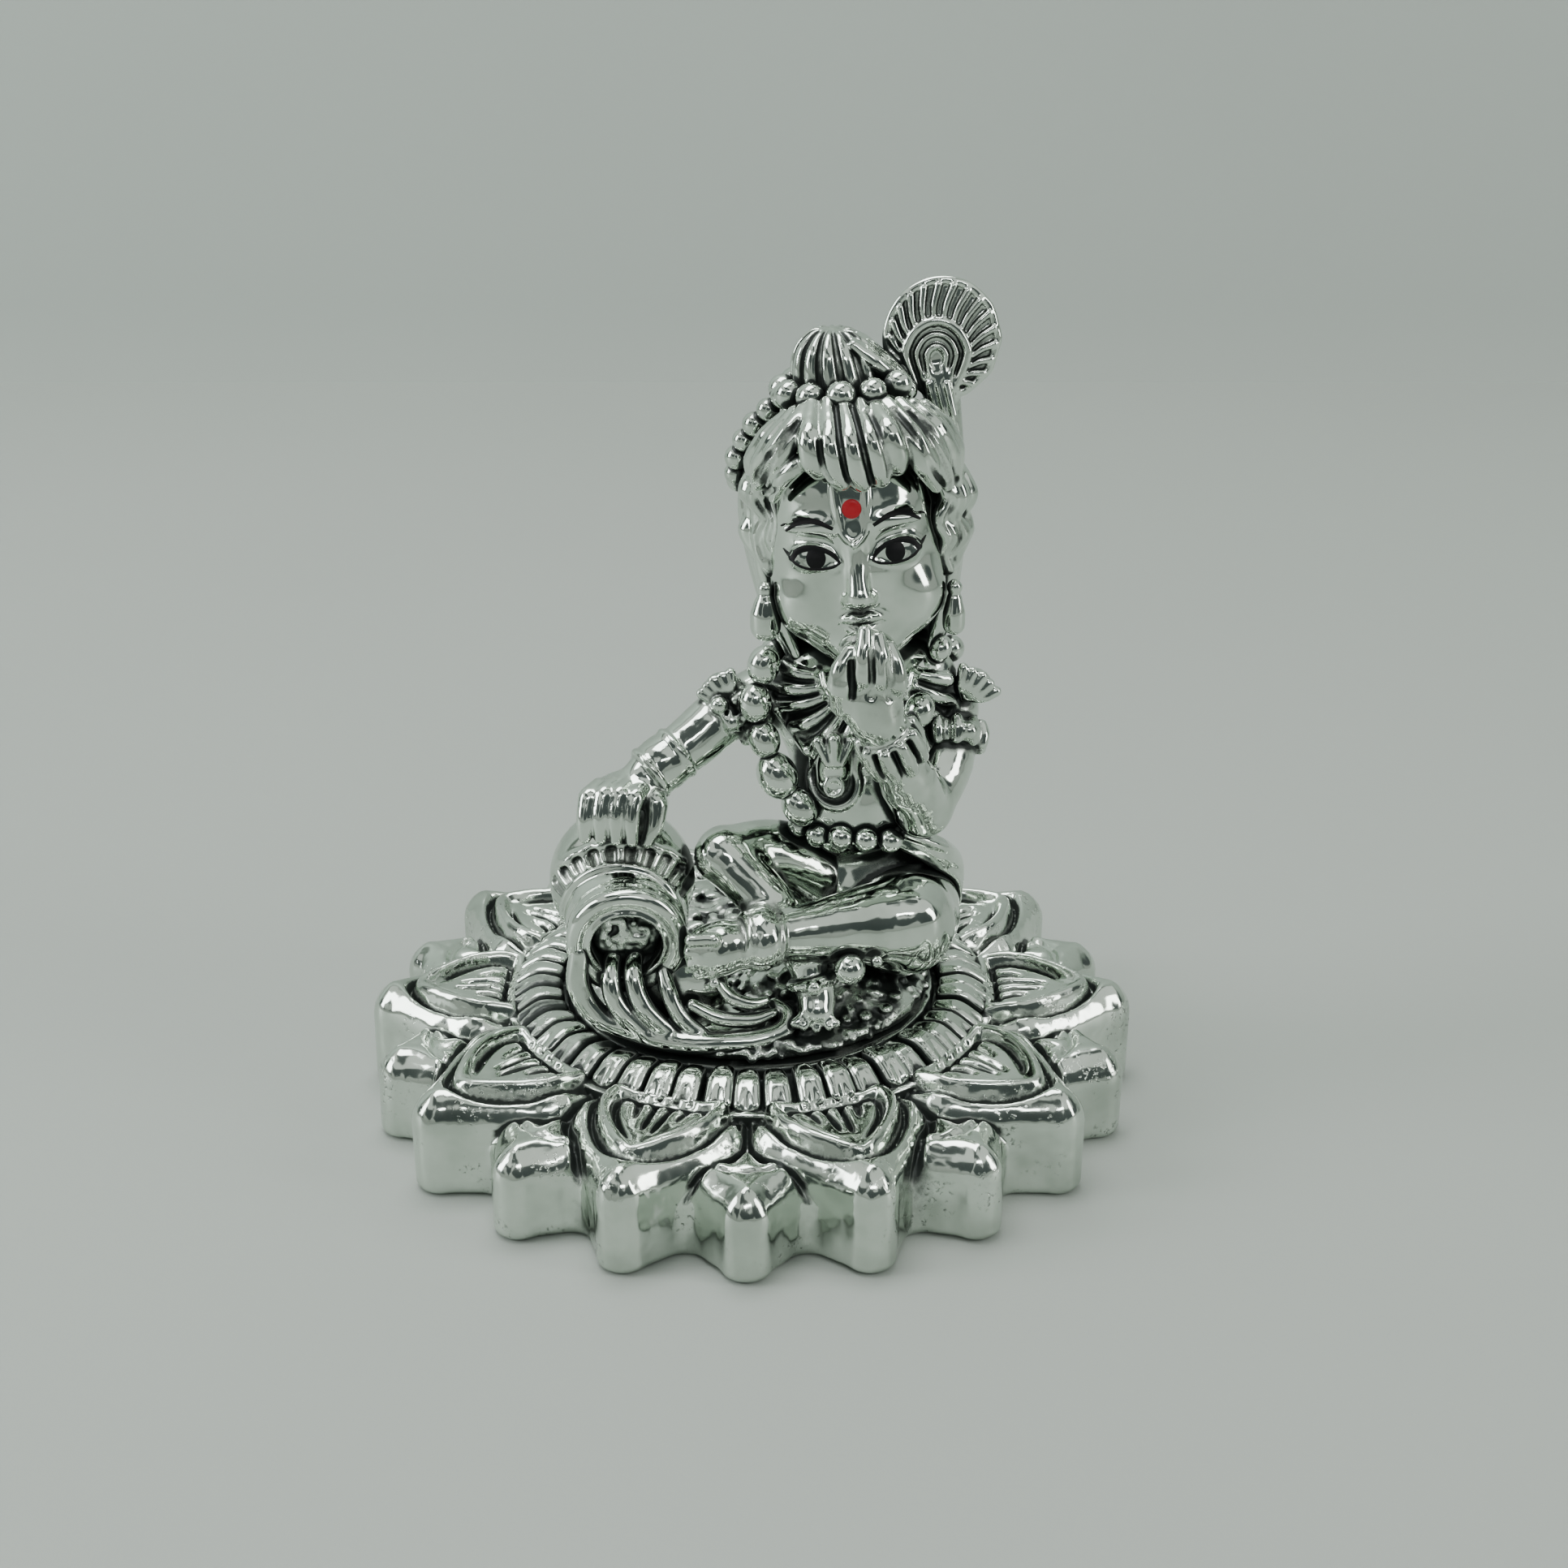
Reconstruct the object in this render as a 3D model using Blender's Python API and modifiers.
# Small cast-silver idol of the crawling-age child god with a spilled butter pot, seated on a lotus.
# Two pieces: the lotus plinth, and the figure group that is set into its seat.
# Lengths are in metres through MM, +Z is up, and the figure faces -Y.

import math
from functools import lru_cache

import bmesh
import bpy
import numpy as np
from mathutils import Matrix, Vector

MM = 0.001

# Lotus plinth
TIP_RADIUS = 32.0 * MM
VALLEY_RADIUS = 27.6 * MM
PETAL_PAIRS = 10
LARGE_PETAL_TOP = 8.3 * MM
SMALL_PETAL_DROP = 0.9 * MM
PETAL_RIM = 0.95 * MM
PETAL_EDGE_ROUND = 1.0 * MM
SEAT_TOP = 9.0 * MM
SEAT_RADIUS = 15.2 * MM
FILAMENTS = 50
FILAMENT_LENGTH = 4.0 * MM
FILAMENT_FALL = 0.8 * MM
FILAMENT_RADIUS = 1.02 * MM

# Figure group
FIGURE_HEIGHT = 58.5 * MM
SEAT_GAP = 0.3 * MM
GROUND_THICKNESS = 1.3 * MM
GROUND_CLEARANCE = 0.4 * MM

# The pose is drawn in units of its own, 58.5 of them from the seat to the tip of the feather.
UNIT = FIGURE_HEIGHT / 58.5
FIGURE_FLOOR = SEAT_TOP + SEAT_GAP
HEAD_CENTRE = Vector((8.1, 0.3, 39.5))
HEAD_LEAN = math.radians(5.5)

# Fineness of the two solids
LOTUS_VOXEL = 0.36 * MM
FIGURE_VOXEL = 0.27 * MM
LOTUS_TRIANGLES = 3500
FIGURE_TRIANGLES = 6300


def clear_scene():
    for obj in list(bpy.data.objects):
        bpy.data.objects.remove(obj, do_unlink=True)


def silver(name, colour, roughness):
    material = bpy.data.materials.new(name)
    material.use_nodes = True
    shader = material.node_tree.nodes["Principled BSDF"]
    shader.inputs["Base Color"].default_value = (*colour, 1.0)
    shader.inputs["Metallic"].default_value = 1.0
    shader.inputs["Roughness"].default_value = roughness
    return material


def turned(axis):
    """The rotation that takes +Z to the axis."""
    return Vector((0, 0, 1)).rotation_difference(Vector(axis).normalized()).to_matrix().to_4x4()


def smooth_path(points, radii, steps):
    """A Catmull-Rom curve through the points, with the radii carried along."""
    points = [Vector(p) for p in points]
    ends = [2 * points[0] - points[1], *points, 2 * points[-1] - points[-2]]
    places = []
    sizes = []
    for i in range(len(points) - 1):
        a, b, c, d = ends[i:i + 4]
        for k in range(steps):
            t = k / steps
            bend = 2 * a - 5 * b + 4 * c - d
            twist = 3 * b - a - 3 * c + d
            places.append(0.5 * (2 * b + (c - a) * t + bend * t * t + twist * t ** 3))
            sizes.append(radii[i] + (radii[i + 1] - radii[i]) * t)
    return places + [points[-1]], sizes + [radii[-1]]


def form_of(solid):
    """The points and faces of a small working mesh, which is then let go."""
    solid.verts.index_update()
    points = np.array([tuple(vert.co) for vert in solid.verts])
    faces = [tuple(vert.index for vert in face.verts) for face in solid.faces]
    solid.free()
    return points, faces


@lru_cache
def sphere_form(fine):
    """A sphere of unit radius."""
    solid = bmesh.new()
    bmesh.ops.create_uvsphere(solid, u_segments=fine, v_segments=max(5, fine // 2), radius=1.0)
    return form_of(solid)


@lru_cache
def drum_form(sides):
    """A drum of unit radius that stands on z = 0 and is one unit tall."""
    solid = bmesh.new()
    bmesh.ops.create_cone(solid, cap_ends=True, segments=sides, radius1=1.0, radius2=1.0, depth=1.0)
    points, faces = form_of(solid)
    return points + (0, 0, 0.5), faces


@lru_cache
def torus_form(radius, thickness, count):
    """A round ring about +Z."""
    bpy.ops.mesh.primitive_torus_add(major_radius=radius, minor_radius=thickness,
                                     major_segments=count, minor_segments=10)
    made = bpy.context.object
    solid = bmesh.new()
    solid.from_mesh(made.data)
    bpy.data.objects.remove(made, do_unlink=True)
    return form_of(solid)


class Clay:
    """Closed shapes gathered in one mesh, in drawn units, until they are fused into one solid."""

    def __init__(self, scale, floor):
        self.points = []
        self.faces = []
        self.count = 0
        self.scale = scale
        self.floor = floor

    def add(self, points, faces):
        """Takes an array of points in drawn units, and faces that count from its first one."""
        self.points.append(points * self.scale + (0, 0, self.floor))
        self.faces += [tuple(self.count + i for i in face) for face in faces]
        self.count += len(points)

    def ball(self, centre, radii, turn=None, fine=14):
        points, faces = sphere_form(fine)
        points = points * radii
        if turn is not None:
            points = points @ np.array(turn.to_3x3()).T
        self.add(points + np.array(centre), faces)

    def rod(self, start, end, radius_start, radius_end, sides=14):
        points, faces = drum_form(sides)
        reach = Vector(end) - Vector(start)
        along = points[:, 2:]
        sizes = radius_start + (radius_end - radius_start) * along
        across = (points * (1, 1, 0) * sizes) @ np.array(turned(reach).to_3x3()).T
        self.add(across + np.array(start) + along * np.array(reach), faces)

    def drum(self, radius, low, high, sides):
        points, faces = drum_form(sides)
        self.add(points * (radius, radius, high - low) + (0, 0, low), faces)

    def limb(self, points, radii, steps=4, fine=14):
        if not hasattr(radii, "__len__"):
            radii = [radii] * len(points)
        places, sizes = smooth_path(points, radii, steps)
        for place, size in zip(places, sizes):
            self.ball(place, size, fine=fine)
        for i in range(len(places) - 1):
            self.rod(places[i], places[i + 1], sizes[i], sizes[i + 1], sides=fine)

    def beads(self, places, radius, fine=12):
        for place in places:
            self.ball(place, radius, fine=fine)

    def ring(self, centre, axis, radius, thickness, count=28):
        points, faces = torus_form(radius, thickness, count)
        self.add(points @ np.array(turned(axis).to_3x3()).T + np.array(centre), faces)

    def slab(self, outline, low, high, turn=None):
        """An upright prism on a flat outline of (x, y) points."""
        count = len(outline)
        points = np.array([(x, y, z) for z in (low, high) for x, y in outline])
        if turn is not None:
            points = points @ np.array(turn.to_3x3()).T
        faces = [(k, (k + 1) % count, count + (k + 1) % count, count + k) for k in range(count)]
        faces += [tuple(reversed(range(count))), tuple(range(count, 2 * count))]
        self.add(points, faces)


def fuse(name, clay, floor, voxel, triangles, material, collection):
    """Fuses the clay into one skin, thins it to the wanted triangles and cuts it flat at the floor."""
    rough = bpy.data.meshes.new(name + "_clay")
    rough.from_pydata(np.concatenate(clay.points).tolist(), [], clay.faces)
    lump = bpy.data.objects.new(name + "_clay", rough)
    collection.objects.link(lump)

    skin = lump.modifiers.new("skin", "REMESH")
    skin.mode = "VOXEL"
    skin.voxel_size = voxel
    ease = lump.modifiers.new("ease", "SMOOTH")
    ease.factor = 0.5
    ease.iterations = 2
    thin = lump.modifiers.new("thin", "DECIMATE")
    thin.use_collapse_triangulate = True
    thin.ratio = 1.0
    graph = bpy.context.evaluated_depsgraph_get()
    quads = len(lump.evaluated_get(graph).data.polygons)
    thin.ratio = min(1.0, triangles / (2 * quads))
    graph = bpy.context.evaluated_depsgraph_get()
    mesh = bpy.data.meshes.new_from_object(lump.evaluated_get(graph))
    bpy.data.objects.remove(lump)

    solid = bmesh.new()
    solid.from_mesh(mesh)
    bmesh.ops.bisect_plane(solid, geom=solid.verts[:] + solid.edges[:] + solid.faces[:], dist=1e-7,
                           plane_co=(0, 0, floor), plane_no=(0, 0, 1), clear_inner=True)
    rim = [edge for edge in solid.edges if edge.is_boundary]
    bmesh.ops.contextual_create(solid, geom=rim)
    keep_largest_shell(solid)
    bmesh.ops.triangulate(solid, faces=solid.faces[:])
    bmesh.ops.recalc_face_normals(solid, faces=solid.faces[:])
    solid.to_mesh(mesh)
    solid.free()

    mesh.name = name
    mesh.materials.clear()
    mesh.materials.append(material)
    mesh.shade_smooth()
    obj = bpy.data.objects.new(name, mesh)
    collection.objects.link(obj)
    return obj


def keep_largest_shell(solid):
    """Drops crumbs that the skin left apart from the body."""
    solid.verts.index_update()
    seen, shells = set(), []
    for start in solid.verts:
        if start in seen:
            continue
        shell, waiting = [], [start]
        seen.add(start)
        while waiting:
            vert = waiting.pop()
            shell.append(vert)
            for edge in vert.link_edges:
                other = edge.other_vert(vert)
                if other not in seen:
                    seen.add(other)
                    waiting.append(other)
        shells.append(shell)
    shells.sort(key=len)
    crumbs = [vert for shell in shells[:-1] for vert in shell]
    bmesh.ops.delete(solid, geom=crumbs, context="VERTS")


def petal_outline(tip, root, join):
    """One petal from above, root at the seat and tip at +X, with hollow flanks and a blunt tip."""
    step = math.pi / PETAL_PAIRS
    valley = (VALLEY_RADIUS * math.cos(step / 2), VALLEY_RADIUS * math.sin(step / 2))
    reach = tip - valley[0]
    half = [
        (root, root * math.tan(step)),
        (join * math.cos(step), join * math.sin(step)),
        (valley[0] - 1.9 * MM, valley[1] + 1.5 * MM),
        valley,
        (valley[0] + 0.42 * reach, valley[1] * 0.46),
        (tip - 0.9 * MM, 1.15 * MM),
        (tip - 0.25 * MM, 0.65 * MM),
        (tip, 0.0),
    ]
    return half + [(x, -y) for x, y in reversed(half[:-1])]


def eased_block(clay, outline, top, turn):
    """A petal's block, its upper edge eased in steps."""
    tip = max(x for x, y in outline)
    width = max(y for x, y in outline)
    for inset, drop in ((0.0, 1.0), (0.3, 0.4), (1.0, 0.0)):
        inset, drop = inset * PETAL_EDGE_ROUND, drop * PETAL_EDGE_ROUND
        smaller = [(x * (tip - inset) / tip, y * (width - inset) / width) for x, y in outline]
        clay.slab(smaller, -MM, top - drop, turn)


def lotus(material, collection):
    clay = Clay(1.0, 0.0)
    step = 2 * math.pi / PETAL_PAIRS
    root = SEAT_RADIUS - MM
    join = 22.8 * MM
    small_top = LARGE_PETAL_TOP - SMALL_PETAL_DROP
    large = petal_outline(TIP_RADIUS, root, join)
    small = petal_outline(TIP_RADIUS * 0.99, root, join)
    for i in range(PETAL_PAIRS):
        turn = Matrix.Rotation(-math.pi / 2 + (i + 0.5) * step, 4, "Z")
        eased_block(clay, large, LARGE_PETAL_TOP, turn)
        large_petal_carving(clay, turn, join)
        turn = Matrix.Rotation(-math.pi / 2 + i * step, 4, "Z")
        eased_block(clay, small, small_top, turn)
        ridge_start = turn @ Vector((join + MM, 0, small_top))
        ridge_end = turn @ Vector((TIP_RADIUS - 3.2 * MM, 0, small_top))
        clay.limb([ridge_start, ridge_end], [0.5 * MM, 0.9 * MM], steps=2, fine=10)

    clay.drum(SEAT_RADIUS, -MM, SEAT_TOP, 96)
    clay.drum(SEAT_RADIUS + FILAMENT_LENGTH + 0.5 * MM, -MM, SEAT_TOP - FILAMENT_FALL - 0.3 * MM, 96)
    for i in range(FILAMENTS):
        turn = Matrix.Rotation(2 * math.pi * (i + 0.5) / FILAMENTS, 4, "Z")
        inner = turn @ Vector((SEAT_RADIUS + FILAMENT_RADIUS * 1.2, 0, SEAT_TOP - 0.1 * MM))
        outer = turn @ Vector((SEAT_RADIUS + FILAMENT_LENGTH, 0, SEAT_TOP - FILAMENT_FALL))
        clay.limb([inner, outer], FILAMENT_RADIUS, steps=1, fine=10)
    return fuse("lotus_plinth", clay, 0.0, LOTUS_VOXEL, LOTUS_TRIANGLES, material, collection)


def large_petal_carving(clay, turn, join):
    """The raised rim of a large petal, and the leaf within it with its veins."""
    top = LARGE_PETAL_TOP - 0.15 * MM
    reach = TIP_RADIUS - 2.3 * MM
    rim = [(SEAT_RADIUS + 4.8 * MM, 5.5 * MM), (join + 0.5 * MM, 5.9 * MM), (26.6 * MM, 4.1 * MM),
           (reach - 1.3 * MM, 1.6 * MM), (reach, 0)]
    for side in (1, -1):
        line = [turn @ Vector((x, side * y, top)) for x, y in rim]
        clay.limb(line, [PETAL_RIM * 0.8, PETAL_RIM, PETAL_RIM * 1.1, PETAL_RIM * 1.1, PETAL_RIM],
                  steps=3, fine=10)
    leaf = turn @ Vector((24.4 * MM, 0, top - 0.1 * MM))
    clay.ball(leaf, (4.4 * MM, 2.5 * MM, 1.0 * MM), turn.to_3x3().to_4x4())
    for vein in (-1, 0, 1):
        start = turn @ Vector((SEAT_RADIUS + 5.2 * MM, vein * 2.6 * MM, top + 0.05 * MM))
        end = turn @ Vector((24.6 * MM, vein * 1.5 * MM, top + 0.6 * MM))
        clay.limb([start, end], [0.6 * MM, 0.45 * MM], steps=1, fine=8)


def head_point(x, y, z):
    """A place measured from the middle of the head, turned by the head's lean."""
    return HEAD_CENTRE + Matrix.Rotation(-HEAD_LEAN, 3, "Y") @ Vector((x, y, z))


def head_turn():
    return Matrix.Rotation(-HEAD_LEAN, 4, "Y")


def face(clay):
    """A calm child's face on plain proportions: eyes half way up, the nose a quarter down."""
    turn = head_turn()
    clay.ball(head_point(0, -1.6, -1.3), (7.1, 7.0, 8.8), turn, fine=24)
    clay.ball(head_point(0, -4.6, -7.4), (3.2, 3.2, 2.6), turn, fine=16)
    for side in (-1, 1):
        clay.ball(head_point(side * 3.6, -4.9, -4.4), (2.9, 2.7, 2.8), turn, fine=16)
        clay.ball(head_point(side * 3.0, -7.5, -0.3), (1.85, 0.8, 1.05), turn)
        clay.ball(head_point(side * 0.75, -8.8, -3.7), (0.65, 0.7, 0.55), turn)
        clay.ball(head_point(side * 7.4, -0.6, -1.2), (1.1, 1.9, 2.4), turn)
    clay.limb([head_point(0, -7.9, 0.9), head_point(0, -8.5, -1.4), head_point(0, -9.4, -3.4)],
              [0.75, 0.7, 0.85])
    clay.ball(head_point(0, -7.9, -5.7), (1.7, 0.9, 0.6), turn)


def hair(clay):
    turn = head_turn()
    clay.ball(head_point(0, 1.1, 0.9), (8.8, 8.6, 9.3), turn, fine=28)
    fringe_roots = [-6.8, -4.9, -3.0, -1.2, 0.7, 2.6, 4.5, 6.3]
    for i, x in enumerate(fringe_roots):
        swing = (i - 3.5) * 0.28
        drop = 0.045 * x * x - (0.7 if abs(x) < 2 else 0.0)
        clay.limb([head_point(x * 0.45, -4.6, 9.1), head_point(x * 0.85, -7.1, 7.7),
                   head_point(x * 1.05 + swing, -7.7 + 0.06 * x * x, 6.1 - drop)],
                  [1.0, 1.25, 0.95], steps=3, fine=12)
    for side in (-1, 1):
        clay.limb([head_point(side * 6.0, -5.6, 5.9), head_point(side * 7.5, -3.9, 2.6),
                   head_point(side * 8.0, -2.8, -1.4), head_point(side * 7.8, -2.0, -4.6)],
                  [1.1, 1.25, 1.1, 0.7], steps=3, fine=12)
        clay.limb([head_point(side * 7.0, 1.5, -2.5), head_point(side * 7.2, 1.4, -6.2),
                   head_point(side * 6.3, 2.2, -10.2)], [1.9, 1.8, 1.0], steps=3, fine=12)
    for i in range(7):
        x = (i - 3) * 2.2
        clay.limb([head_point(x, 8.3 - 0.09 * x * x, 1.5), head_point(x * 1.08, 8.6 - 0.09 * x * x, -4.5),
                   head_point(x * 1.0, 7.0 - 0.05 * x * x, -10.6)], [1.6, 1.7, 1.0], steps=3, fine=12)


def topknot(clay):
    base = head_point(-0.2, -0.4, 9.6)
    top = head_point(0.1, -0.1, 13.4)
    clay.limb([base, top], [3.5, 2.2], steps=2, fine=20)
    flutes = 13
    for i in range(flutes):
        angle = 2 * math.pi * i / flutes
        out = Vector((math.cos(angle), math.sin(angle), 0))
        crown = top + out * 1.5 + Vector((0, 0, 1.4))
        clay.limb([base + out * 3.5, base.lerp(top, 0.62) + out * 3.0, crown], [0.62, 0.66, 0.5],
                  steps=2, fine=8)
    string = 12
    middle = head_point(0.6, -0.4, 10.9)
    for i in range(string):
        angle = 2 * math.pi * (i + 0.5) / string
        out = Vector((4.2 * math.cos(angle), 4.1 * math.sin(angle), 0.3 * math.cos(angle)))
        clay.ball(middle + out, 1.12, fine=12)
    side_string = [
        (2.7, -1.2, 49.4), (1.2, -0.6, 48.0), (0.2, 0.0, 46.6), (-0.7, 0.6, 44.9), (-0.9, 1.4, 43.2),
        (-0.7, 3.2, 41.9), (0.3, 5.4, 40.9), (1.9, 7.4, 40.2), (4.0, 9.0, 39.7), (6.4, 9.9, 39.4),
        (8.9, 10.2, 39.3), (11.4, 9.8, 39.5), (13.7, 8.8, 39.9), (15.7, 7.1, 40.6),
    ]
    clay.beads(side_string, 0.98)


def feather(clay):
    """The peacock feather: a round fan of barbs about an arched eye, on a short quill."""
    centre = Vector((14.7, 1.6, 53.7))
    back_tilt = Matrix.Rotation(math.radians(-8), 4, "X")
    clay.ball(centre, (4.35, 0.75, 4.5), back_tilt, fine=24)
    eye = centre + Vector((-0.3, -0.4, -1.5))
    barbs = 17
    for i in range(barbs):
        angle = math.radians(-42 + 264 * i / (barbs - 1))
        out = Vector((math.cos(angle), 0, math.sin(angle)))
        rim = Vector((centre.x + 4.1 * out.x, centre.y - 0.3 - 0.12 * out.z, centre.z + 4.25 * out.z))
        clay.limb([eye + out * 2.5, rim], [0.34, 0.44], steps=1, fine=8)
    for width in (2.1, 1.15):
        arch = [eye + Vector((width * math.cos(a), -0.35, width * 1.15 * math.sin(a)))
                for a in [math.pi * k / 6 for k in range(7)]]
        clay.limb([arch[0] - Vector((0.1, 0, 1.6)), *arch, arch[-1] - Vector((-0.1, 0, 1.6))], 0.34,
                  steps=1, fine=8)
    clay.limb([(14.9, 1.7, 49.5), (15.5, 1.4, 47.6), (15.9, 0.9, 45.6)], [1.5, 1.2, 0.9], steps=2)


def earrings(clay):
    for x, y, z in ((1.4, -3.1, 36.2), (15.9, -3.1, 36.2)):
        clay.ball((x, y, z), 0.8)
        clay.limb([(x, y, z - 0.6), (x + 0.05, y - 0.2, z - 2.8)], [0.6, 1.3], steps=3)


def torso(clay):
    clay.limb([(9.4, 0.8, 24.5), (9.5, 0.7, 31.0)], [3.2, 2.8], steps=2)
    clay.ball((9.1, 0.4, 23.2), (6.3, 4.6, 5.4), fine=20)
    clay.ball((9.0, -0.9, 17.2), (5.0, 4.7, 5.4), fine=20)
    clay.ball((9.7, 1.8, 7.2), (7.1, 6.4, 7.4), fine=24)
    clay.limb([(1.9, 0.8, 25.0), (9.2, 0.9, 25.2), (16.0, 0.7, 23.6)], [2.5, 3.2, 2.7], steps=3)


def arms(clay):
    clay.limb([(1.6, 0.8, 25.1), (-1.9, -1.2, 23.9), (-4.7, -3.0, 22.0), (-8.0, -4.7, 19.9)],
              [2.55, 2.2, 2.0, 1.7], steps=4)
    clay.ball((-10.1, -5.3, 18.9), (2.9, 2.4, 1.6), fine=16)
    for i in range(4):
        x = -12.5 + 1.16 * i
        dip = 0.25 * abs(i - 1.5)
        clay.limb([(x + 0.5, -6.4, 19.5 - dip), (x, -8.0, 18.7 - dip), (x, -8.7, 16.6 - 0.1 * i)],
                  [0.78, 0.74, 0.62], steps=3, fine=10)
    clay.limb([(-8.2, -5.4, 19.0), (-7.2, -6.7, 17.9), (-7.3, -7.6, 16.2)], [0.95, 0.85, 0.7],
              steps=3, fine=10)
    clay.ring((-7.1, -4.3, 20.5), (-3.3, -1.7, -2.1), 1.75, 0.42, count=20)

    clay.limb([(15.7, 0.6, 23.2), (15.4, -1.9, 20.2), (13.8, -4.9, 17.6)], [2.7, 2.45, 2.25], steps=4)
    clay.limb([(13.7, -5.1, 17.6), (12.4, -7.4, 20.7), (11.1, -9.1, 24.2)], [2.2, 2.1, 1.75], steps=4)
    clay.limb([(11.1, -9.3, 24.4), (9.8, -10.2, 26.6), (9.2, -10.4, 29.2)], [1.7, 2.1, 1.9], steps=3)
    clay.ball((9.2, -10.4, 28.6), (2.5, 1.4, 2.8), fine=16)
    fingers = ((-1.75, -0.95, 32.6), (-0.6, -0.3, 34.2), (0.6, 0.4, 34.3), (1.7, 1.1, 33.0))
    for base, tip, top in fingers:
        knuckle = (9.0 + 0.6 * (base + tip), -11.3, 31.4)
        clay.limb([(9.1 + base, -10.6, 29.4), knuckle, (8.9 + tip, -10.4, top)], [0.82, 0.76, 0.58],
                  steps=3, fine=10)
    clay.limb([(6.9, -10.1, 27.2), (6.5, -11.2, 29.3), (7.1, -11.2, 31.0)], [0.9, 0.8, 0.65],
              steps=3, fine=10)
    for k in range(5):
        clay.ring(Vector((11.1, -9.2, 24.3)) + Vector((0.12, 0.1, -0.25)) * (k - 1), (-0.35, -0.42, 0.9),
                  1.85, 0.38, count=18)


def legs(clay):
    clay.limb([(12.4, 2.6, 5.8), (12.7, -1.8, 6.9), (12.3, -5.4, 7.8)], [4.7, 4.3, 3.9], steps=3, fine=18)
    clay.limb([(12.1, -6.2, 8.1), (7.4, -9.2, 9.1), (1.5, -11.6, 9.5)], [3.75, 2.7, 1.75], steps=5, fine=18)
    clay.ring((0.5, -12.0, 9.6), (-0.92, -0.3, 0.12), 1.95, 0.8, count=20)
    clay.limb([(0.2, -12.0, 9.1), (-2.2, -12.6, 8.1), (-3.5, -12.7, 6.8)], [1.6, 1.9, 1.55], steps=3)
    for i in range(4):
        clay.limb([(-2.6, -13.4, 8.9 - 0.85 * i), (-4.6 + 0.25 * i, -13.2, 8.3 - 0.85 * i)], [0.6, 0.5],
                  steps=1, fine=8)
    clay.limb([(6.4, 0.4, 7.6), (2.2, -2.4, 12.0), (-1.9, -5.3, 13.7)], [4.2, 3.1, 2.2], steps=4)
    clay.limb([(-2.0, -5.6, 13.6), (1.5, -8.3, 10.8), (4.4, -10.2, 6.6), (5.4, -11.4, 3.6)],
              [2.15, 2.0, 1.6, 1.7], steps=4)
    clay.beads([(7.7, -12.0, 6.8), (5.2, -12.3, 5.9)], 1.1)
    for i in range(4):
        clay.limb([(4.6 + 0.55 * i, -12.2, 3.4), (4.2 + 0.6 * i, -13.3, 2.4)], [0.6, 0.45], steps=1, fine=8)


def clothes_and_strings(clay):
    """The sash over the hip, and the garland, belt, collar, pendant and armlets."""
    clay.limb([(12.0, -4.0, 14.9), (14.9, -2.4, 12.6), (16.5, 0.6, 9.8), (16.6, 2.4, 4.6)],
              [1.3, 1.6, 1.4, 1.2], steps=4)
    clay.limb([(16.2, 4.5, 9.0), (13.5, 7.6, 9.8), (8.5, 8.2, 9.9), (4.2, 6.0, 10.2), (2.6, 2.2, 11.0)],
              1.15, steps=4)

    garland = [(1.3, -3.4, 28.0), (0.4, -3.6, 26.2), (1.1, -3.9, 24.0), (2.1, -4.3, 21.7), (3.7, -4.6, 19.2)]
    for (x, y, z), size in zip(garland, (1.35, 1.35, 1.25, 1.55, 1.25)):
        clay.ball((x, y, z), (size, size, size * 1.15))
    back = [(2.0, 0.4, 28.6), (2.4, 3.4, 27.6), (4.0, 5.2, 25.6), (5.8, 5.6, 23.2), (7.9, 5.7, 21.3),
            (10.3, 5.7, 21.3), (12.4, 5.5, 23.2), (14.1, 5.0, 25.6), (15.5, 3.4, 27.4), (16.0, 0.6, 28.4)]
    clay.beads(back, 1.2)
    clay.beads([(14.9, -2.6, 29.0), (13.9, -3.8, 27.2), (13.3, -4.8, 25.2)], 1.15)
    belt = [(4.9, -4.2, 15.6), (6.9, -5.3, 15.5), (9.0, -5.7, 15.3), (11.1, -5.4, 15.0)]
    clay.beads(belt, 1.1)
    for i in range(11):
        angle = math.radians(188 + 164 * i / 10)
        out = Vector((math.cos(angle), 0, math.sin(angle)))
        start = Vector((9.3, -3.6 + 0.35 * out.z, 28.4)) + out * 4.6
        end = Vector((9.1, -4.9 + 1.9 * abs(out.x), 28.0)) + out * 7.6
        clay.limb([start, end], [0.55, 0.72], steps=1, fine=10)
    clay.ball((6.9, -4.7, 20.2), (1.9, 0.9, 2.4))
    clay.ring((6.9, -5.5, 20.0), (0, -1, 0.15), 0.75, 0.25, count=14)
    for x, z, lean in ((-1.8, 25.9, -0.5), (18.0, 26.0, 0.6)):
        for k in (-1, 0, 1):
            leaf_tip = (x + lean * (1 - 0.3 * abs(k)), -0.9 + 0.9 * k, z + 1.3)
            clay.limb([(x - lean * 2, -0.6 + 0.7 * k, z - 1.6), leaf_tip], [0.9, 0.7], steps=2, fine=10)
    clay.ring((-1.0, -0.8, 24.3), (-3.4, -2.0, -1.5), 2.35, 0.5, count=20)
    clay.ring((15.7, -0.9, 21.9), (0.0, 0.6, 0.8), 2.6, 0.55, count=22)
    clay.ball((17.4, -2.9, 21.6), 0.95)


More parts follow.
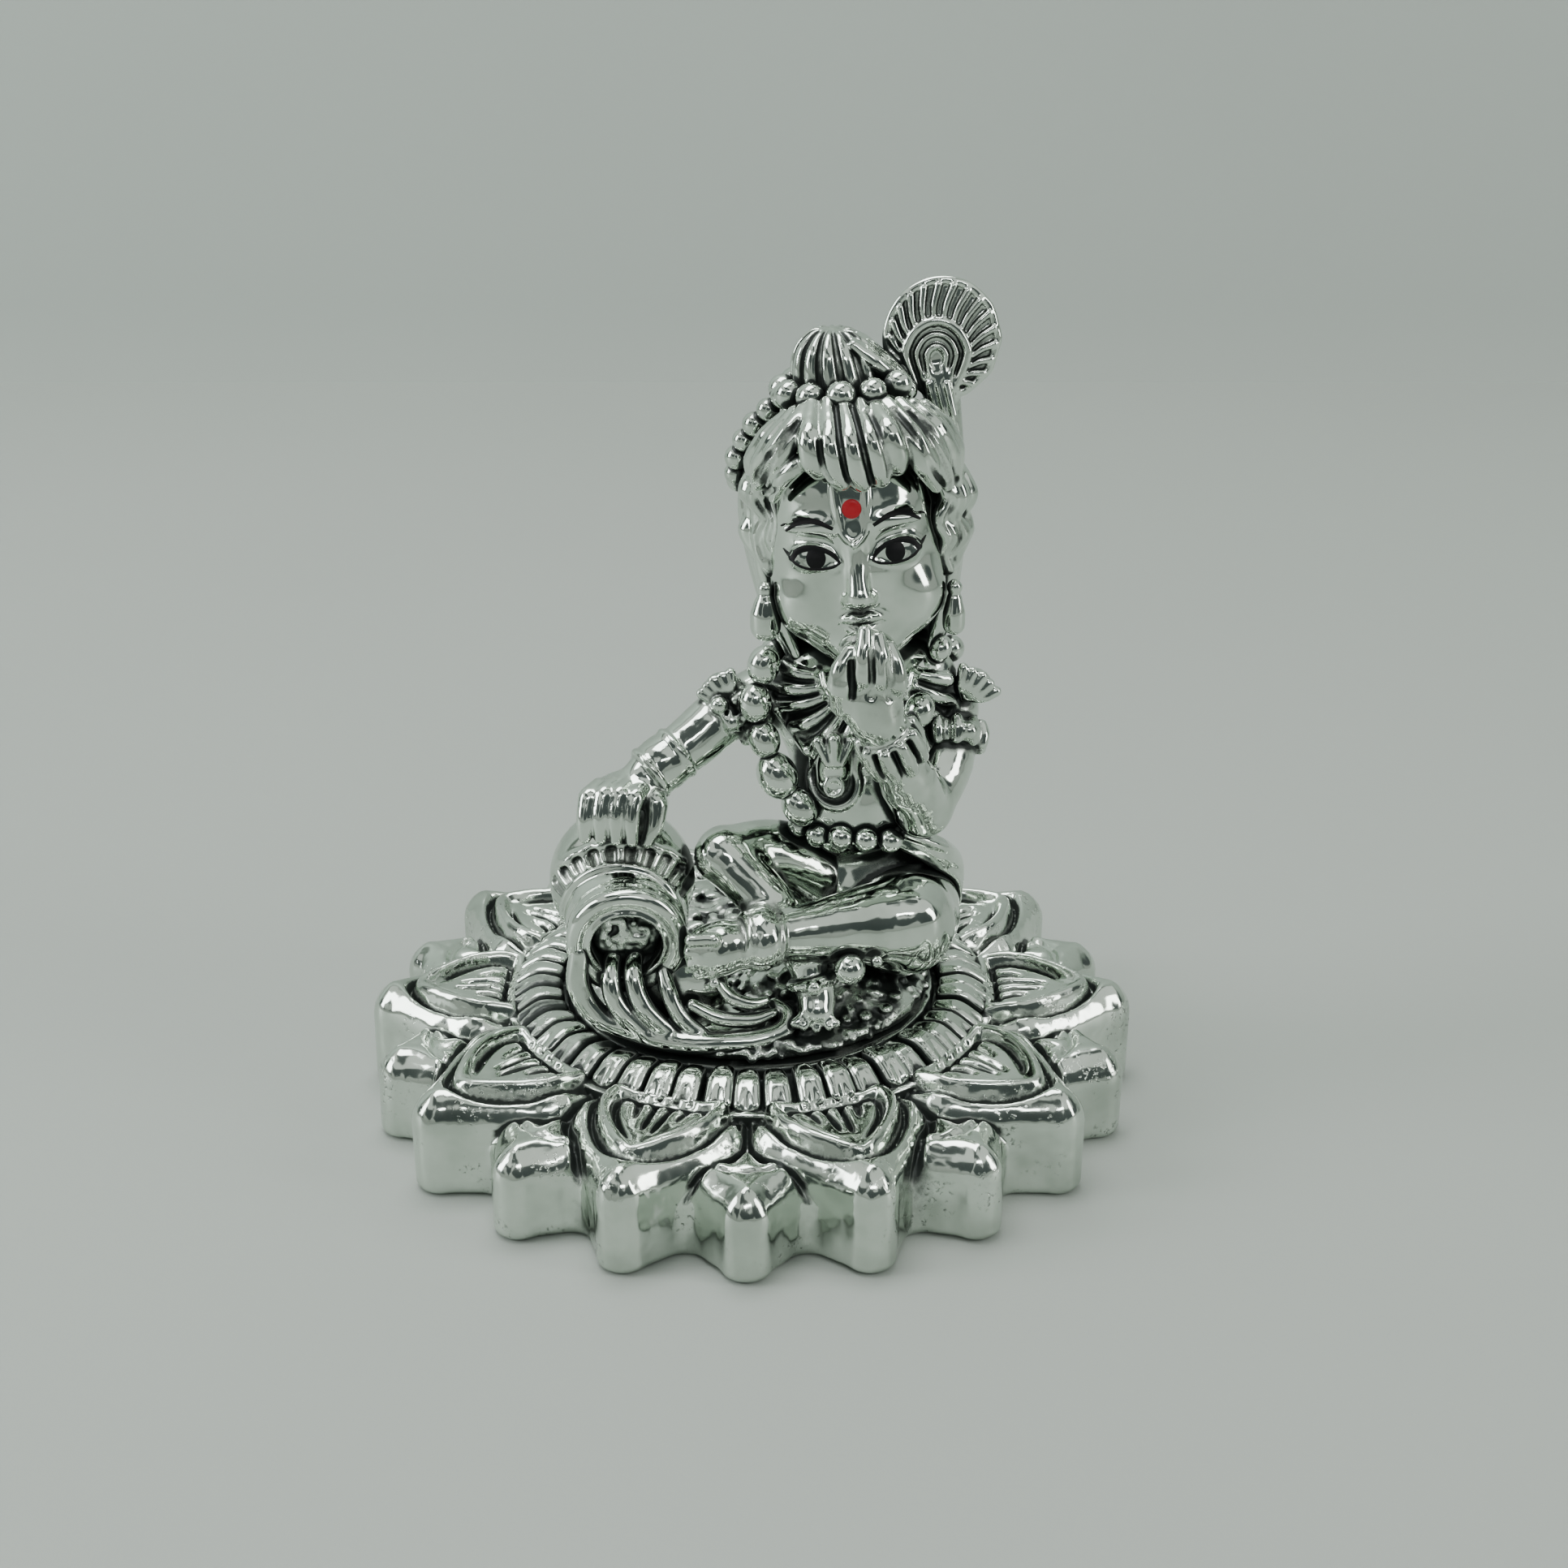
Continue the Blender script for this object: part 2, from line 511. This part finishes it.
def butter_pot(clay):
    """The round pot lying towards the viewer: body, notched collar, hollow neck and rolled rim."""
    axis = Vector((0.07, -1.0, -0.12))
    clay.ball((-10.2, -4.3, 11.0), (5.9, 5.2, 6.1), fine=28)
    for along, radius, thickness in ((0.0, 4.6, 1.3), (1.1, 4.2, 0.85), (2.1, 4.0, 0.75), (3.1, 4.1, 0.9)):
        clay.ring(Vector((-9.7, -8.6, 9.3)) + axis * along, axis, radius, thickness, count=28)
    notches = 18
    for i in range(notches):
        angle = 2 * math.pi * (i + 0.5) / notches
        clay.ball((-9.8 + 5.5 * math.cos(angle), -8.6, 9.4 + 5.5 * math.sin(angle)), (0.5, 0.8, 0.5), fine=8)
    clay.ball((-8.6, -4.8, 3.4), (4.8, 5.4, 4.8), fine=20)


def spilled_butter(clay):
    clay.ball((-9.4, -9.6, 7.6), (3.2, 1.6, 2.8), fine=18)
    strands = (
        ([(-13.2, -11.6, 7.6), (-13.0, -11.8, 4.9), (-11.4, -11.7, 2.7), (-8.6, -11.2, 1.2)], 0.95),
        ([(-10.4, -11.9, 7.0), (-10.2, -12.7, 4.6), (-8.4, -12.5, 2.2)], 0.75),
        ([(-8.4, -11.9, 7.2), (-8.0, -12.8, 4.6), (-6.2, -12.9, 2.0)], 0.75),
        ([(-6.2, -11.7, 7.2), (-5.8, -12.7, 4.4), (-4.2, -12.9, 2.0)], 0.8),
        ([(-10.4, -11.8, 2.0), (-7.4, -12.2, 1.2), (-4.4, -13.3, 1.1), (-1.6, -13.7, 1.2), (0.9, -13.3, 1.2),
          (2.8, -12.5, 1.5), (3.2, -11.5, 2.3)], 0.85),
        ([(-4.2, -12.6, 3.6), (-1.8, -12.8, 2.9), (0.4, -12.4, 2.6), (2.2, -11.9, 2.9)], 0.7),
    )
    for points, size in strands:
        clay.limb(points, size, steps=4, fine=12)
    clay.ball((-4.6, -9.4, 0.3), (5.6, 3.6, 1.9), fine=18)
    clay.ball((-6.0, -10.4, 4.0), (4.5, 2.2, 4.2), fine=16)


def ground(clay):
    """The rough patch of ground that the child and the pot share, inside the ring of filaments."""
    reach = (SEAT_RADIUS - GROUND_CLEARANCE) / UNIT
    thick = GROUND_THICKNESS / UNIT
    clay.drum(reach, -1.0, thick, 72)
    clay.ball((8.2, -5.8, 1.0), (4.8, 4.8, 2.6), fine=18)
    stones = ((-6.5, 4.5, 4.6, 1.7), (-1.5, 9.0, 3.6, 1.4), (4.5, 10.2, 3.2, 1.2), (-11.3, 1.5, 2.8, 1.1),
              (-5.6, 9.9, 2.6, 0.9), (0.6, 4.2, 4.2, 2.2), (-10.0, 6.6, 2.4, 0.8), (9.6, 9.3, 2.2, 0.7))
    for x, y, wide, tall in stones:
        clay.ball((x, y, thick), (wide, wide * 0.85, tall), fine=14)
    clay.ball((3.5, -6.5, 3.5), (5.5, 4.5, 5.0), fine=18)


def figure(material, collection):
    clay = Clay(UNIT, FIGURE_FLOOR)
    ground(clay)
    torso(clay)
    legs(clay)
    arms(clay)
    face(clay)
    hair(clay)
    topknot(clay)
    feather(clay)
    earrings(clay)
    clothes_and_strings(clay)
    butter_pot(clay)
    spilled_butter(clay)
    return fuse("child_with_butter_pot", clay, FIGURE_FLOOR, FIGURE_VOXEL, FIGURE_TRIANGLES,
                material, collection)


def main():
    clear_scene()
    collection = bpy.data.collections.new("laddu_gopal_idol")
    bpy.context.scene.collection.children.link(collection)
    lotus(silver("lotus_silver", (0.72, 0.72, 0.70), 0.22), collection)
    figure(silver("figure_silver", (0.78, 0.78, 0.75), 0.16), collection)


main()
